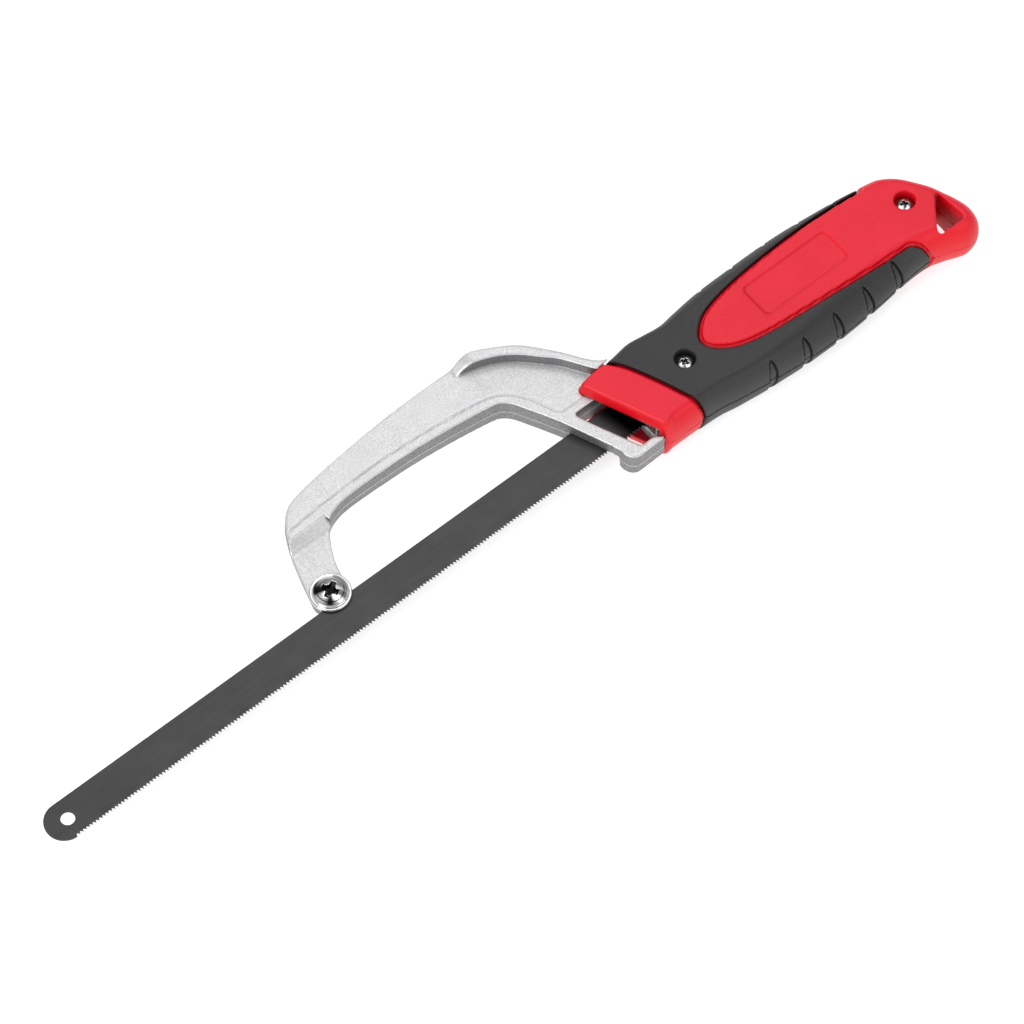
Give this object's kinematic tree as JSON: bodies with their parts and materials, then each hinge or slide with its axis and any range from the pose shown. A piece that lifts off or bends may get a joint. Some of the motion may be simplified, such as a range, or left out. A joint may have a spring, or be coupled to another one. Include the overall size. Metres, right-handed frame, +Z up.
{
  "type": "mini hacksaw",
  "caption": "Short hacksaw with a cast C-frame, a bare blade that runs past the frame's arm, a clamp screw and a two-material clamshell handle.",
  "frame": {"origin": "middle of the box's bottom face, on the surface the saw lies on", "axes": "+X along the blade towards the handle, +Y from the teeth towards the blade's back, +Z up, across the saw's thickness"},
  "size_m": [0.3708, 0.07, 0.022],
  "materials": {
    "cast_aluminium": "sand-textured die casting",
    "blade_steel": "satin dark grey",
    "plated_steel": "polished plating",
    "red_plastic": "satin moulded",
    "soft_grip": "matte moulded"
  },
  "bodies": {
    "root": {"frame_casting": "cast_aluminium", "handle_shell_near": "red_plastic", "handle_shell_far": "red_plastic", "grip_cover_near": "soft_grip", "grip_cover_far": "soft_grip", "handle_screw_front": "plated_steel", "handle_screw_rear": "plated_steel", "blade_pin_sleeve": "plated_steel"},
    "blade": {"blade": "blade_steel"},
    "washer": {"clamp_washer": "plated_steel"},
    "screw": {"clamp_screw": "plated_steel"}
  },
  "joints": [
    {"name": "blade_swing", "type": "hinge", "parent": "root", "child": "blade", "pos_m": [0.07255, -0.01277, 0.011], "axis": [0, 0, 1], "range_deg": [0, 4.5]},
    {"name": "washer_lift", "type": "slide", "parent": "root", "child": "washer", "axis": [0, 0, 1], "range_m": [0, 0.003]},
    {"name": "screw_turn", "type": "hinge", "parent": "washer", "child": "screw", "pos_m": [-0.06605, -0.00287, 0.011], "axis": [0, 0, 1], "range_deg": [0, 1081]}
  ],
  "couplings": [
    {"joint": "screw_turn", "follows": "washer_lift", "rad_per_m": 6283.2}
  ]
}
